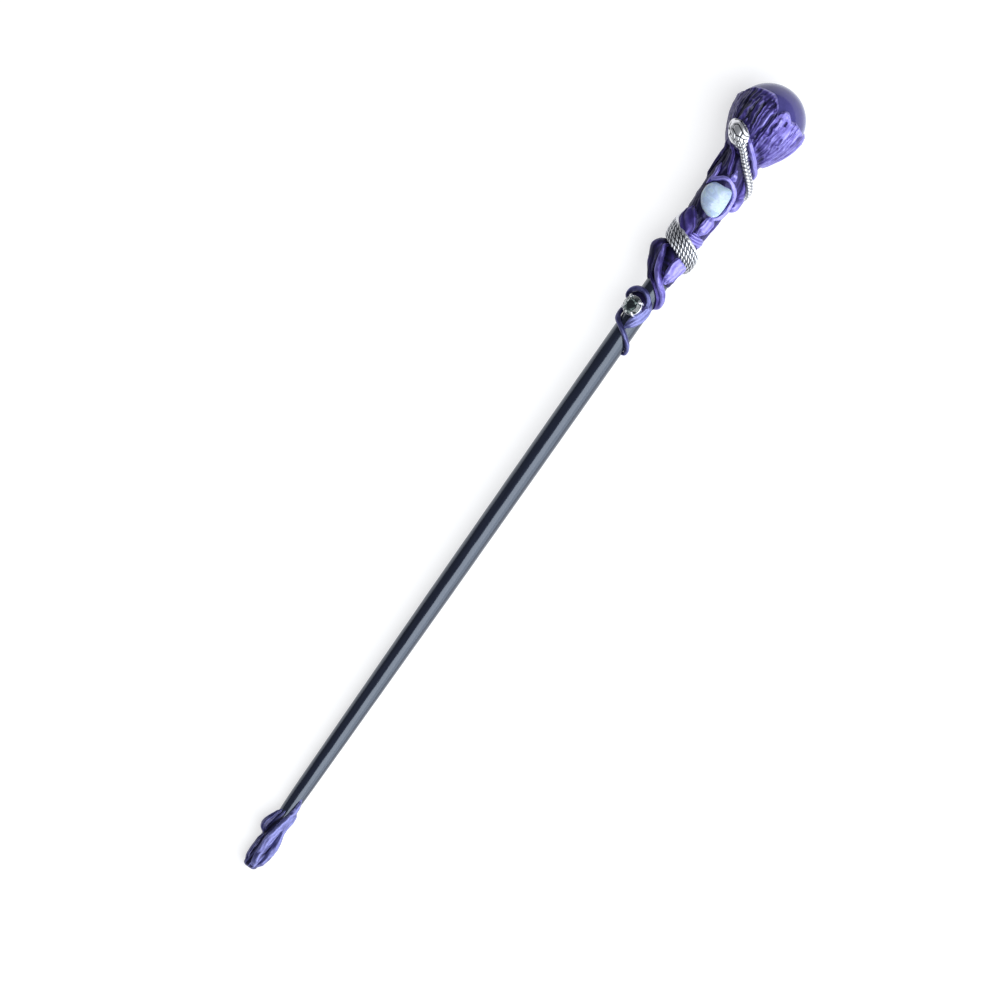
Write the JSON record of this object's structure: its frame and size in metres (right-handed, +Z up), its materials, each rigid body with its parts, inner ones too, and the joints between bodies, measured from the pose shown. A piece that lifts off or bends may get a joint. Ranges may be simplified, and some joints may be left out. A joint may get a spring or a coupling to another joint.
{
  "type": "magic wand",
  "caption": "Slim lacquered dowel wand with a sculpted clay handle that holds a glass ball, a silver snake ring, a moonstone cabochon and a claw-set gem.",
  "frame": {"origin": "on the table plane under the middle of the bounding box, with the wand lying down on its cup petals and its tip", "axes": "+X along the wand from the tip to the ball, +Z up on the side that carries the moonstone, +Y to the wand's left side"},
  "size_m": [0.3504, 0.0294, 0.0295],
  "materials": {
    "lacquered_wood": "dark navy lacquered dowel",
    "violet_clay": "pearlescent violet polymer clay under a gloss varnish",
    "tinted_glass": "clear indigo-violet tinted glass",
    "moonstone": "polished milky pale blue stone",
    "antique_silver": "polished cast silver with blackened recesses",
    "smoky_gem": "faceted dark grey-green stone"
  },
  "bodies": {
    "root": {"shaft": "lacquered_wood", "handle_core": "violet_clay", "handle_collar": "violet_clay", "ball_cup": "violet_clay", "crystal_ball": "tinted_glass", "moonstone": "moonstone", "snake": "antique_silver", "cup_lip_strand": "violet_clay", "neck_strand_left": "violet_clay", "neck_strand_front": "violet_clay", "neck_strand_back": "violet_clay", "neck_flame_leaf": "violet_clay", "bezel_side_strand": "violet_clay", "moonstone_bezel": "violet_clay", "side_lobe": "violet_clay", "handle_leaf_right": "violet_clay", "handle_leaf_left": "violet_clay", "handle_wrap": "violet_clay", "bulb_left": "violet_clay", "bulb_right": "violet_clay", "bulb_back": "violet_clay", "upper_vine": "violet_clay", "under_vine": "violet_clay", "gem": "smoky_gem", "gem_setting": "antique_silver", "gem_pad": "violet_clay", "gem_bezel": "violet_clay", "gem_leaf": "violet_clay", "lower_vine": "violet_clay", "tip_sleeve": "violet_clay", "tip_knob": "violet_clay", "tip_strand_main": "violet_clay", "tip_strand_left": "violet_clay", "tip_strand_right": "violet_clay", "tip_strand_back": "violet_clay", "tip_strand_back_right": "violet_clay", "cup_petal_1": "violet_clay", "cup_petal_2": "violet_clay", "cup_petal_3": "violet_clay", "cup_petal_4": "violet_clay", "cup_petal_5": "violet_clay", "cup_petal_6": "violet_clay", "cup_petal_7": "violet_clay", "cup_petal_8": "violet_clay"}
  },
  "joints": []
}
